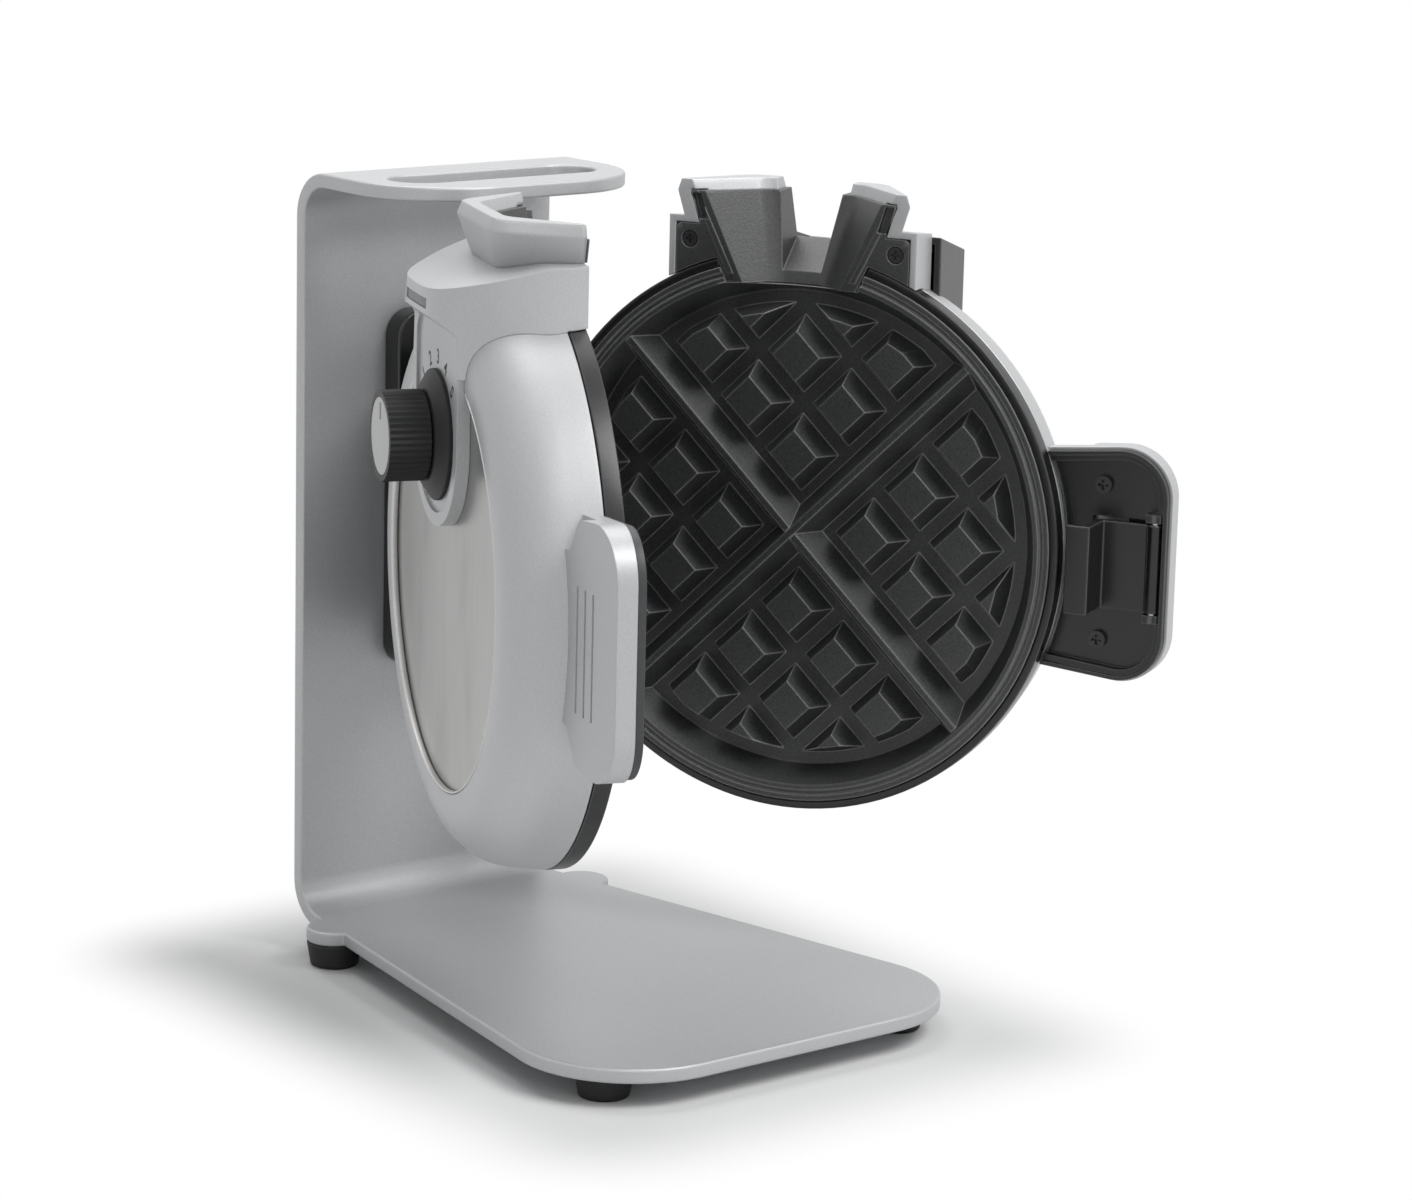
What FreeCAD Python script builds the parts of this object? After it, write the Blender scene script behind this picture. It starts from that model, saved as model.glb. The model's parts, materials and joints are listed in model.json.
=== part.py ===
import FreeCAD, Part
import math
import os

# Upright waffle maker: a bent plate stand carries two round cooking halves on one upright pin.
# Millimetres, +Z up, -Y is the front. Each half is drawn in its own axes, with X along the half
# from the disc centre to the handle, Y outward from the parting plane and Z up, then swung open.

# Stand
plate_t = 5.0
frame_h = 272.0
panel_w = 107.0
bend_r = 11.0
base_depth = 219.0
base_front_w = 180.0
base_corner_r = 40.0
flange_depth = 67.0
flange_corner_r = 35.0
slot_len = 84.0
slot_w = 22.5
slot_back = 37.7
ear_r = 10.0
rear_foot_x = 55.0
rear_foot_back = 24.0
front_foot_x = 63.0
front_foot_back = 193.0
foot_h = 9.0
foot_top_r = 10.0
foot_low_r = 8.5
foot_screw_up = 4.0
foot_screw_head_r = 3.5
foot_screw_head_t = 2.0
foot_screw_hold = 3.0
screw_r = 1.75
screw_gap = 0.05
cross_share = 0.58
cross_w_share = 0.32
cross_deep_share = 0.6

# Hinge
bracket_w = 38.0
bracket_h = 130.0
bracket_up = 2.0
bracket_t = 9.0
bracket_r = 9.5
bracket_screw_x = 12.5
bracket_screw_up = 48.0
bracket_screw_r = 3.4
bracket_screw_h = 2.0
hinge_back = 17.0
pin_r = 3.0
knuckle_r = 7.4
lug_top = 62.0
lug_h = 10.0
knuckle_h = 13.4
knuckle_gap = 0.4
pin_head_r = 5.0
pin_head_t = 2.0
press_gap = 0.02
gland_r = 6.0
gland_drop = 35.0
gland_bore_r = 3.3
gland_sunk = 3.0
gland_cap_r = 10.0
gland_cap_t = 5.0
gland_cap_lean = 2.0
arm_plate_p = 107.4
arm_pad_p = 77.4
arm_plate_t = 10.0
arm_in_d = 0.6
pad_low = 20.0

# Halves
arm_len = 129.4
disc_up = 153.8
left_open = 21.5
right_open = 27.8
half_gap = 0.4
rim_r = 98.2
band_d = 7.0
seam = 0.3
side_r = 96.6
side_d = 18.0
dome_d = 36.6
dome_round = 0.69
lip_r = 74.0
recess_r = 71.6
disc_d = 34.4
disc_t = 0.8
wall = 2.5
over = 0.05
face_gap = 0.1

# Grid plate
plate_r = 95.2
plate_edge_d = 5.0
plate_step_r = 88.0
cavity_r = 89.5
floor_r = 84.0
floor_d = 10.5
floor_t = 3.5
bump_top_d = 2.3
bump_pitch = 24.5
bump_first = 19.23
bump_base = 19.5
bump_top = 12.4
bump_clip_r = 80.0
bump_clip_lean = 3.5
rib_top_d = 1.2
rib_top_w = 2.5
rib_base_w = 12.0
groove_in_r = 91.4
groove_out_r = 93.0
groove_depth = 0.9
carrier_gap = 0.2
carrier_sunk = 0.4
embed = 0.3
post_r = 4.0
post_at = 44.0
post_gap = 0.6
element_r = 50.0
element_tube_r = 3.2
element_sweep = 300.0
shield_r = 82.0
shield_t = 0.6
cover_screw_head_r = 3.1
cover_screw_head_h = 1.8
cover_screw_len = 14.0

# Spout
spout_p = -2.0
shoulder_w = 45.8
shoulder_q = 108.0
cup_base_w = 39.2
cup_base_back_w = 19.0
cup_base_d = 23.3
cup_base_q = 104.0
cup_wide_w = 43.0
cup_wide_back_w = 26.0
cup_wide_d = 27.0
cup_wide_q = 116.5
cup_rim_in = 1.4
cup_top_q = 120.5
cup_foot_q = 88.0
cup_round = 12.0
liner_top_q = 116.8
liner_low_q = 86.0
liner_t = 1.8
flange_t = 3.0
funnel_low_w = 19.3
funnel_top_w = 34.0
funnel_low_d = 9.5
funnel_top_d = 17.5
funnel_back_share = 0.46
funnel_round = 10.0
channel_low_w = 6.8
channel_top_w = 11.4
channel_foot = 6.0
ramp_in_d = 7.0
ramp_out_d = 27.0
ramp_in_q = 88.0
ramp_out_q = 100.0
liner_screw_p = 38.0
liner_screw_q = 99.8
liner_screw_r = 1.4
liner_screw_head_r = 2.7
liner_screw_len = 10.0
liner_sunk = 1.6
boss_r = 3.4
boss_len = 10.5
boss_floor = 2.0
web_in = 2.0
web_t = 3.0
ear_low_q = 84.0
ear_round = 2.0
panel_low_q = 100.0
panel_in = 5.2
fit = 0.2
bead_w = 2.2
bead_out = 0.25
bead_low_in = 3.0
mouth_low_side = 0.6
tab_w = 2.4
tab_low_q = 107.5
tab_top_in = 1.5
tab_out = 2.6
tab_gap = 0.5
past = 1.0
tiny = 0.01

# Left neck, dial and knob
neck_flank_top = [(45.8, 0.4), (44.6, 10.0), (40.5, 20.0), (32.5, 33.0), (19.5, 42.6), (0.0, 45.6)]
neck_flank_low = [(45.8, 0.4), (47.8, 17.0), (39.5, 29.5), (31.8, 36.6), (26.8, 42.4), (0.0, 46.0)]
neck_flank_low_q = 70.0
neck_d = 45.4
neck_front_q = 97.0
neck_mid_d = 12.0
neck_mid_q = 107.0
neck_top_round = 20.0
shelf_low_q = 89.3
shelf_round = 2.0
shelf_cove = 5.5
dial_q = 47.0
dial_r = 30.0
dial_d = 38.9
border_w = 4.5
dial_sink = 1.0
dial_top_round = 9.0
window_w = 27.0
window_h = 3.4
window_q = 92.2
window_round = 0.5
lens_gap = 0.1
lens_sunk = 0.4
lamp_r = 2.0
lamp_len = 16.0
bezel_r = 21.6
bezel_in_r = 7.0
bezel_edge_t = 1.4
bezel_top_r = 16.4
bezel_t = 4.8
knob_r = 15.0
knob_len = 13.8
knob_lift = 5.3
knob_teeth = 44
tooth_depth = 0.5
knob_cap_r = 12.8
cap_t = 1.2
knob_bore = 9.0
pointer_w = 1.6
pointer_len = 5.4
pointer_in = 1.9
pointer_sunk = 0.4
shaft_r = 3.0
shaft_room = 0.6
shaft_in = 1.5
thermostat_w = 34.0
thermostat_h = 24.0

# Right neck
right_silver_d = 15.0
silver_fall = 1.8
right_neck_low_q = 55.0
neck_cover_w = 49.0
neck_cover_q = 105.0
neck_cover_end_q = 97.0
neck_cover_low_q = 72.0
neck_cover_lean = 1.5
neck_cover_side_r = 4.0
neck_cover_top_r = 2.0
fuse_r = 4.0
fuse_len = 24.0
fuse_q = 20.0

# Handles and latch
grip_p = 135.3
grip_q = 42.0
grip_corner_r = 17.0
grip_root_p = 88.0
grip_root_q = 37.5
pad_root_q = 27.0
pad_slant_p = 96.5
pad_full_p = 103.5
pad_round = 5.0
pad_d = 14.0
grip_in_d = 6.0
grip_shell_d = 9.0
grip_root_d = 20.6
grip_tip_d = 15.4
tray_floor_d = 10.5
tray_edge = 0.8
tray_skin = 1.8
shell_wall = 2.6
ledge_w = 2.2
ledge_d = 1.4
recess_edge = 4.6
grip_screw_p = 110.6
grip_screw_q = 26.8
grip_screw_r = 1.5
grip_screw_head_r = 3.0
grip_screw_head_h = 1.8
rib_first_p = 102.4
rib_pitch = 6.4
rib_w = 1.4
rib_half_q = 20.0
rib_drop = 2.0
rib_sunk = 0.9
lever_p0 = 108.8
lever_q = 15.2
lever_d0 = 6.6
lever_d1 = 9.2
lever_floor_d = 11.4
lever_side = 0.6
hook_t = 3.2
hook_out = 8.0
hook_lip = 5.2
hook_lip_t = 2.4
hook_room = 3.0
hook_back = 10.5
pocket_d = 13.6
pocket_side = 2.0
latch_pin_in = 5.4
latch_pin_d = 7.6
latch_pin_r = 1.5
latch_eye_r = 2.4
pin_post = 3.0
leaf_t = 0.4
leaf_w = 8.0
leaf_rise = 0.3
leaf_slant = 1.3
running = 0.05

panel_y = (rear_foot_back + front_foot_back) / 2.0
base_z = foot_h
hinge_y = panel_y - hinge_back
disc_z = base_z + disc_up
latch_pin_p = grip_p - latch_pin_in
shield_d = floor_d + floor_t + 2 * element_tube_r + post_gap
half_span = 2 * frame_h
O = FreeCAD.Vector(0, 0, 0)
X = FreeCAD.Vector(1, 0, 0)
Y = FreeCAD.Vector(0, 1, 0)
Z = FreeCAD.Vector(0, 0, 1)
shapes = {}


def vec(x, y, z):
    return FreeCAD.Vector(x, y, z)


def box(x0, x1, y0, y1, z0, z1):
    return Part.makeBox(x1 - x0, y1 - y0, z1 - z0, vec(x0, y0, z0))


def cyl(r, start, axis, length):
    return Part.makeCylinder(r, length, start, axis)


def outline(corners):
    """Closed flat face in XY from (x, y, corner radius) points."""
    edges = []
    ends = []
    count = len(corners)
    for i in range(count):
        here = vec(corners[i][0], corners[i][1], 0)
        before = vec(corners[i - 1][0], corners[i - 1][1], 0)
        after = vec(corners[(i + 1) % count][0], corners[(i + 1) % count][1], 0)
        radius = corners[i][2]
        if radius <= 0:
            ends.append((here, None, here))
            continue
        back = (before - here).normalize()
        ahead = (after - here).normalize()
        half = back.getAngle(ahead) / 2.0
        run = radius / math.tan(half)
        middle = (back + ahead).normalize() * (radius / math.sin(half) - radius)
        ends.append((here + back * run, here + middle, here + ahead * run))
    for i in range(count):
        start, middle, end = ends[i]
        if middle is not None:
            edges.append(Part.Arc(start, middle, end).toShape())
        following = ends[(i + 1) % count][0]
        if (following - end).Length > 1e-6:
            edges.append(Part.makeLine(end, following))
    return Part.Face(Part.Wire(edges))


def up_prism(corners, z0, z1):
    """Outline in X and Y, from z0 up to z1."""
    face = outline(corners)
    face.translate(vec(0, 0, z0))
    return face.extrude(vec(0, 0, z1 - z0))


def out_prism(corners, d0, d1):
    """Outline in X and Z, from depth d0 to depth d1 along Y."""
    face = outline(corners)
    face.translate(vec(0, 0, -d1))
    solid = face.extrude(vec(0, 0, d1 - d0))
    solid.rotate(O, X, 90)
    return solid


def side_prism(corners, x0, x1):
    """Outline in Y and Z, from x0 to x1 along X."""
    face = outline(corners)
    face.translate(vec(0, 0, x0))
    solid = face.extrude(vec(0, 0, x1 - x0))
    solid.rotate(O, vec(1, 1, 1), 120)
    return solid


def turned(edges):
    """Solid of revolution about Y from a closed ring of edges in XY."""
    return Part.Face(Part.Wire(edges)).revolve(O, Y, 360)


def polyline(points):
    pts = [vec(p[0], p[1], 0) for p in points]
    return [Part.makeLine(a, b) for a, b in zip(pts, pts[1:])]


def turned_ring(points):
    return turned(polyline(points + [points[0]]))


def skin(low, low_q, high, high_q):
    """Straight sided solid between two plan outlines with matching corners."""
    bottom = outline(low).OuterWire
    bottom.translate(vec(0, 0, low_q))
    top = outline(high).OuterWire
    top.translate(vec(0, 0, high_q))
    return Part.makeLoft([bottom, top], True, True)


def joined(solids):
    first = solids[0]
    if len(solids) == 1:
        return first
    return first.fuse(solids[1:]).removeSplitter()


def mirrored(corners):
    """Corners on the +X side, given from front to back, with their mirror images added."""
    return corners + [(-x, y, r) for x, y, r in reversed(corners)]


def arc3(a, b, c):
    return Part.Arc(vec(a[0], a[1], 0), vec(b[0], b[1], 0), vec(c[0], c[1], 0)).toShape()


def blend_at(low, high, low_q, high_q, q):
    return low + (high - low) * (q - low_q) / (high_q - low_q)


def screw(head_r, head_h, shank_r, length):
    """Pan head screw along +Y: head from -head_h to 0, shank from 0 to length."""
    body = cyl(head_r, vec(0, -head_h, 0), Y, head_h)
    body = body.fuse(cyl(shank_r, O, Y, length))
    cross = head_r * cross_share
    half_w = head_r * cross_w_share / 2
    deep = head_h * cross_deep_share
    body = body.cut(box(-cross, cross, -head_h, deep - head_h, -half_w, half_w))
    return body.cut(box(-half_w, half_w, -head_h, deep - head_h, -cross, cross))


def at(shape, x, y, z):
    moved = shape.copy()
    moved.translate(vec(x, y, z))
    return moved


def spout(shape):
    """Shape drawn about the spout's middle, moved to its place on the half."""
    return at(shape, spout_p, 0, 0)


def add(name, shape):
    shapes[name] = shape


def add_half(name, shape, side):
    """Put a half's piece in its open place; the left half is the mirror image in Y."""
    if side == "left":
        placed = shape.mirror(O, Y)
        swing = -90.0 - left_open
    else:
        placed = shape.copy()
        swing = right_open - 90.0
    placed.translate(vec(arm_len, 0, 0))
    placed.rotate(O, Z, swing)
    placed.translate(vec(0, hinge_y, disc_z))
    shapes[name] = placed


# Stand plate: side profile of the bent plate, cut to its outline region by region
y0 = panel_y
y1 = panel_y + plate_t
front_y = panel_y - base_depth
top_z = base_z + frame_h
flange_y = panel_y - flange_depth
profile = [
    (front_y, base_z, 0),
    (y1, base_z, bend_r + plate_t),
    (y1, top_z, bend_r + plate_t),
    (flange_y, top_z, 0),
    (flange_y, top_z - plate_t, 0),
    (y0, top_z - plate_t, bend_r),
    (y0, base_z + plate_t, bend_r),
    (front_y, base_z + plate_t, 0),
]
reach = base_front_w
bent = side_prism(profile, -reach, reach)
bend_y = panel_y - bend_r
half_panel = panel_w / 2.0
half_front = base_front_w / 2.0
base_plan = up_prism(mirrored([
    (half_front, front_y, base_corner_r),
    (half_panel, bend_y, 0),
]), base_z - 1, base_z + plate_t + 1)
ears = []
for sx in (-1, 1):
    ears.append(cyl(ear_r, vec(sx * rear_foot_x, panel_y - rear_foot_back, base_z), Z, plate_t))
panel_zone = box(-half_panel, half_panel, bend_y, y1 + 1, base_z - 1, top_z + 1)
flange_plan = up_prism(mirrored([
    (half_panel, flange_y, flange_corner_r),
    (half_panel, bend_y, 0),
]), top_z - plate_t - 1, top_z + 1)
stand = joined([bent.common(base_plan), bent.common(panel_zone), bent.common(flange_plan)] + ears)
slot_y = panel_y - slot_back
slot = up_prism(mirrored([
    (slot_len / 2, slot_y - slot_w / 2, slot_w / 2 - tiny),
    (slot_len / 2, slot_y + slot_w / 2, slot_w / 2 - tiny),
]), top_z - plate_t - 1, top_z + 1)
stand = stand.cut(slot)

# Feet and their screws
feet = {
    "foot_front_left": (-front_foot_x, panel_y - front_foot_back),
    "foot_front_right": (front_foot_x, panel_y - front_foot_back),
    "foot_rear_left": (-rear_foot_x, panel_y - rear_foot_back),
    "foot_rear_right": (rear_foot_x, panel_y - rear_foot_back),
}
foot_screws = []
for name in feet:
    fx, fy = feet[name]
    foot = Part.makeCone(foot_low_r, foot_top_r, foot_h, vec(fx, fy, 0), Z)
    foot = foot.cut(cyl(foot_screw_head_r + seam, vec(fx, fy, -past), Z, foot_screw_up + past))
    foot = foot.cut(cyl(screw_r + screw_gap, vec(fx, fy, 0), Z, foot_h + past))
    add(name, foot)
    one = cyl(screw_r, vec(fx, fy, foot_screw_up), Z, base_z + foot_screw_hold - foot_screw_up)
    head = cyl(foot_screw_head_r, vec(fx, fy, foot_screw_up - foot_screw_head_t), Z, foot_screw_head_t)
    foot_screws.append(one.fuse(head))
    stand = stand.cut(cyl(screw_r + screw_gap, vec(fx, fy, base_z - past), Z, past + foot_screw_hold + fit))
add("foot_screws", Part.makeCompound(foot_screws))

# Hinge bracket, its screws from behind the panel, the pin and the cord gland
bracket_mid = disc_z + bracket_up
face_y = panel_y - bracket_t
bracket = out_prism(mirrored([
    (bracket_w / 2, bracket_mid - bracket_h / 2, bracket_r),
    (bracket_w / 2, bracket_mid + bracket_h / 2, bracket_r),
]), face_y, panel_y)
lug_low = [disc_z + lug_top - lug_h, disc_z - lug_top]
for low in lug_low:
    bracket = bracket.fuse(box(-knuckle_r, knuckle_r, hinge_y, face_y + 1, low, low + lug_h))
    bracket = bracket.fuse(cyl(knuckle_r, vec(0, hinge_y, low), Z, lug_h))
pin_half = lug_top + fit
bracket = bracket.cut(cyl(pin_r + press_gap, vec(0, hinge_y, disc_z - bracket_h), Z, 2 * bracket_h))
pin = cyl(pin_r, vec(0, hinge_y, disc_z - pin_half), Z, 2 * pin_half)
for low in (disc_z + pin_half, disc_z - pin_half - pin_head_t):
    pin = pin.fuse(cyl(pin_head_r, vec(0, hinge_y, low), Z, pin_head_t))
add("hinge_pin", pin.removeSplitter())
bracket_screws = []
bracket_screw_len = plate_t + bracket_t * 0.6
for sx in (-1, 1):
    for sz in (-1, 1):
        bx = sx * bracket_screw_x
        bz = bracket_mid + sz * bracket_screw_up
        one = screw(bracket_screw_r, bracket_screw_h, screw_r, bracket_screw_len)
        one.rotate(O, Z, 180)
        bracket_screws.append(at(one, bx, y1, bz))
        drill = cyl(screw_r + screw_gap, vec(bx, y1 + past, bz), -Y, bracket_screw_len + past + fit)
        stand = stand.cut(drill)
        bracket = bracket.cut(drill)
add("bracket_screws", Part.makeCompound(bracket_screws))
gland_z = disc_z - gland_drop
gland_hole = cyl(gland_r + screw_gap, vec(0, face_y + gland_sunk - fit, gland_z), Y, bracket_t + plate_t)
stand = stand.cut(gland_hole)
bracket = bracket.cut(gland_hole)
gland = cyl(gland_r, vec(0, face_y + gland_sunk, gland_z), Y, y1 - face_y - gland_sunk)
gland_end_r = gland_cap_r - gland_cap_lean
gland = gland.fuse(Part.makeCone(gland_cap_r, gland_end_r, gland_cap_t, vec(0, y1, gland_z), Y))
gland = gland.cut(cyl(gland_bore_r, vec(0, face_y, gland_z), Y, 2 * (bracket_t + plate_t) + gland_cap_t))
add("cord_gland", gland)
add("stand_frame", stand.removeSplitter())
add("hinge_bracket", bracket.removeSplitter())

# Shared dome shapes
side_start = band_d + seam
mid_r = lip_r + (side_r - lip_r) * dome_round
mid_d = side_d + (dome_d - side_d) * dome_round
recess_floor = disc_d - disc_t
filled = turned(
    polyline([(0, disc_d + over), (0, side_start), (rim_r, side_start), (side_r, side_d)])
    + [arc3((side_r, side_d), (mid_r, mid_d), (lip_r, dome_d))]
    + polyline([(lip_r, dome_d), (recess_r, dome_d), (recess_r, disc_d + over), (0, disc_d + over)])
)
inner_top = recess_floor - wall
inner_edge = lip_r + wall
inner_mid = ((inner_edge + side_r - wall) / 2 + wall, (inner_top + side_d) / 2 + wall)
band_zone = cyl(rim_r + seam, vec(0, -10, 0), Y, 10 + side_start + over)
shell_edges = (
    polyline([(rim_r - wall, side_start), (rim_r, side_start), (side_r, side_d)])
    + [arc3((side_r, side_d), (mid_r, mid_d), (lip_r, dome_d))]
    + polyline([(lip_r, dome_d), (recess_r, dome_d), (recess_r, recess_floor), (0, recess_floor)])
    + polyline([(0, recess_floor), (0, inner_top), (inner_edge, inner_top)])
    + [arc3((inner_edge, inner_top), inner_mid, (side_r - wall, side_d))]
    + polyline([(side_r - wall, side_d), (rim_r - wall, side_start)])
)


def funnel(grow, low_q, high_q):
    """Half funnel space, grown by the wall, between two heights along the same slopes."""
    rows = []
    for q in (low_q, high_q):
        w = blend_at(funnel_low_w, funnel_top_w, liner_low_q, liner_top_q, q) + grow
        d = blend_at(funnel_low_d, funnel_top_d, liner_low_q, liner_top_q, q) + grow
        front = half_gap if grow > 0 else -past
        rows.append(mirrored([(w, front, 0), (w * funnel_back_share, d, funnel_round)]))
    return spout(skin(rows[0], low_q, rows[1], high_q))


def channel(grow, high_q, end_d):
    """Pouring channel: a ramp from the funnel out to the notch, open above."""
    ramp = side_prism([
        (ramp_in_d - grow, ramp_in_q - grow, 0),
        (ramp_out_d, ramp_out_q - grow, 0),
        (end_d, ramp_out_q - grow, 0),
        (end_d, high_q, 0),
        (ramp_in_d - grow, high_q, 0),
    ], -shoulder_w, shoulder_w)
    foot_q = ramp_in_q - channel_foot
    top_w = blend_at(channel_low_w, channel_top_w, ramp_in_q, liner_top_q, high_q) + grow
    low_w = blend_at(channel_low_w, channel_top_w, ramp_in_q, liner_top_q, foot_q) + grow
    sides = out_prism(mirrored([
        (low_w, foot_q, 0),
        (top_w, high_q, 0),
    ]), 0, end_d + past)
    return spout(ramp.common(sides))


def flank_wire(points, inset, q):
    """Plan outline of the left neck at one height: one smooth curve closed at the parting plane."""
    path = []
    for p, d in points:
        path.append(vec(p - inset if p > 0 else 0, d - inset if d > half_gap else d, 0))
    path = path + [vec(-v.x, v.y, 0) for v in reversed(path[:-1])]
    curve = Part.BSplineCurve()
    curve.interpolate(path)
    wire = Part.Wire([curve.toShape(), Part.makeLine(path[-1], path[0])])
    wire.translate(vec(0, 0, q))
    return wire


def left_block(inset):
    """Left neck envelope: flanks that spread towards the dome, cut by the side profile."""
    low = flank_wire(neck_flank_low, inset, neck_flank_low_q)
    high = flank_wire(neck_flank_top, inset, shoulder_q + past)
    flanks = Part.makeLoft([low, high], True, True)
    d = neck_d + past - inset
    side = side_prism([
        (half_gap, neck_flank_low_q, 0),
        (dial_d - inset, neck_flank_low_q, 0),
        (dial_d - inset, shelf_low_q - shelf_cove + inset, 2 * shelf_round),
        (d, shelf_low_q + inset, shelf_round),
        (d, neck_front_q - inset, shelf_round),
        (neck_mid_d, neck_mid_q - inset, neck_top_round),
        (half_gap, shoulder_q - inset, 0),
    ], -half_span, half_span)
    return spout(flanks.common(side))


def right_block(inset):
    """Right silver neck envelope, from the parting plane to the black cover."""
    w = shoulder_w - inset
    side = side_prism([
        (half_gap, right_neck_low_q, 0),
        (right_silver_d, right_neck_low_q, 0),
        (right_silver_d, shoulder_q - silver_fall - inset, 0),
        (half_gap, shoulder_q - inset, 0),
    ], -w, w)
    return spout(side)


def cover_block(inset):
    """Black cover behind the right silver neck."""
    w = neck_cover_w - inset
    start = right_silver_d + face_gap
    low_q = neck_cover_low_q + inset
    end = neck_d - inset
    plan = up_prism(mirrored([
        (w, start, 0),
        (w - neck_cover_lean, end, neck_cover_side_r),
    ]), low_q, cup_top_q)
    side = side_prism([
        (start, low_q, 0),
        (end, low_q, neck_cover_top_r),
        (end, neck_cover_end_q - inset, neck_cover_top_r),
        (start, neck_cover_q - inset, 0),
    ], -half_span, half_span)
    return spout(plan.common(side))


def cup_envelope(grow):
    """Cup outside: spreads from its foot to a widest line, then leans in to the rim."""
    share = (cup_foot_q - cup_base_q) / (cup_wide_q - cup_base_q)
    levels = [
        (cup_foot_q, share, 0),
        (cup_wide_q, 1.0, 0),
        (cup_top_q, 1.0, cup_rim_in),
    ]
    rows = []
    for q, part, lean in levels:
        w = cup_base_w + part * (cup_wide_w - cup_base_w) - lean + grow
        back_w = cup_base_back_w + part * (cup_wide_back_w - cup_base_back_w) - lean + grow
        d = cup_base_d + part * (cup_wide_d - cup_base_d) - lean + grow
        rows.append(mirrored([(w, half_gap, 0), (back_w, d, cup_round)]))
    low = skin(rows[0], cup_foot_q, rows[1], cup_wide_q)
    high = skin(rows[1], cup_wide_q, rows[2], cup_top_q)
    return spout(joined([low, high]))


def cup_edge(q):
    """Half width of the cup at the parting plane."""
    if q < cup_wide_q:
        return blend_at(cup_base_w, cup_wide_w, cup_base_q, cup_wide_q, q)
    return blend_at(cup_wide_w, cup_wide_w - cup_rim_in, cup_wide_q, cup_top_q, q)


def tower_panel(grow):
    """Flat liner face inside the cup's front edge."""
    edge = panel_in - grow
    low_q = panel_low_q - grow
    return spout(out_prism(mirrored([
        (cup_edge(low_q) - edge, low_q, 0),
        (cup_edge(cup_wide_q) - edge, liner_top_q + grow, 0),
    ]), half_gap, half_gap + flange_t + grow))


def neck_mouth():
    """Room for the liner's flat ears in the front of a neck."""
    return spout(out_prism(mirrored([
        (shoulder_w - wall, ear_low_q, 0),
        (shoulder_w - wall, shoulder_q - wall, ear_round),
    ]), -past, half_gap + flange_t + face_gap))


def grid_plate(side_cut):
    """Cast plate: rim with a bead groove, cavity with a cross rib and pyramid bumps."""
    rim_d = half_gap
    back_d = floor_d + floor_t
    blank = turned_ring([
        (0, rim_d),
        (groove_in_r, rim_d),
        (groove_in_r, rim_d + groove_depth),
        (groove_out_r, rim_d + groove_depth),
        (groove_out_r, rim_d),
        (plate_r, rim_d),
        (plate_r, plate_edge_d),
        (plate_step_r, plate_edge_d),
        (plate_step_r, back_d),
        (0, back_d),
    ])
    air = turned_ring([
        (0, -past),
        (cavity_r, -past),
        (cavity_r, rim_d),
        (floor_r, floor_d),
        (0, floor_d),
    ])
    clip_d = bump_top_d - past
    clip = Part.makeCone(bump_clip_r - bump_clip_lean, bump_clip_r, floor_d + past - clip_d,
                         vec(0, clip_d, 0), Y)
    half_b = bump_base / 2.0
    half_t = bump_top / 2.0
    solids = []
    for sx in (-1, 1):
        for sz in (-1, 1):
            for i in range(3):
                for j in range(3):
                    if i + j > 3:
                        continue
                    bump = Part.makeWedge(-half_t, bump_top_d, -half_t, -half_b, -half_b,
                                          half_t, floor_d, half_t, half_b, half_b)
                    bump_x = sx * (bump_first + i * bump_pitch)
                    bump_z = sz * (bump_first + j * bump_pitch)
                    bump.translate(vec(bump_x, 0, bump_z))
                    bump.rotate(O, Y, 45)
                    if max(i, j) == 2:
                        bump = bump.common(clip)
                    solids.append(bump)
    rib = up_prism(mirrored([
        (rib_top_w / 2, rib_top_d, 0),
        (rib_base_w / 2, floor_d, 0),
    ]), -plate_r, plate_r)
    rib = rib.common(air)
    other = rib.copy()
    rib.rotate(O, Y, 45)
    other.rotate(O, Y, -45)
    solids.append(rib)
    solids.extend(other.cut(rib).Solids)
    plate = blank.cut(air)
    for sx in (-1, 1):
        for sz in (-1, 1):
            px = sx * post_at
            pz = sz * post_at
            plate = plate.fuse(cyl(post_r, vec(px, back_d - embed, pz), Y, shield_d - back_d + embed))
            plate = plate.cut(cyl(screw_r + screw_gap, vec(px, back_d + embed, pz), Y, shield_d))
    return Part.makeCompound([plate.cut(side_cut)] + solids)


def seal_beads():
    """Raised sealing strip along each funnel edge on the liner's face."""
    low_w = funnel_low_w + liner_t + 2 * fit
    high_w = funnel_top_w + liner_t - 2 * fit
    low_q = liner_low_q + bead_low_in
    strips = []
    for s in (-1, 1):
        strips.append(spout(out_prism([
            (s * low_w, low_q, 0),
            (s * (low_w + bead_w), low_q, 0),
            (s * (high_w + bead_w), liner_top_q, 0),
            (s * high_w, liner_top_q, 0),
        ], half_gap - bead_out, half_gap + past)))
    return strips


def seal_tabs(grow, d0, d1):
    """Upright tab near each outer edge of the liner's face, or the room for one."""
    low_q = tab_low_q - grow
    high_q = liner_top_q - tab_top_in + grow
    tabs = []
    for s in (-1, 1):
        low_w = cup_edge(low_q) - panel_in - tab_gap - fit + grow
        high_w = cup_edge(high_q) - panel_in - tab_gap - fit + grow
        width = tab_w + 2 * grow
        tabs.append(spout(out_prism([
            (s * (low_w - width), low_q, 0),
            (s * low_w, low_q, 0),
            (s * high_w, high_q, 0),
            (s * (high_w - width), high_q, 0),
        ], d0, d1)))
    return tabs


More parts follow.
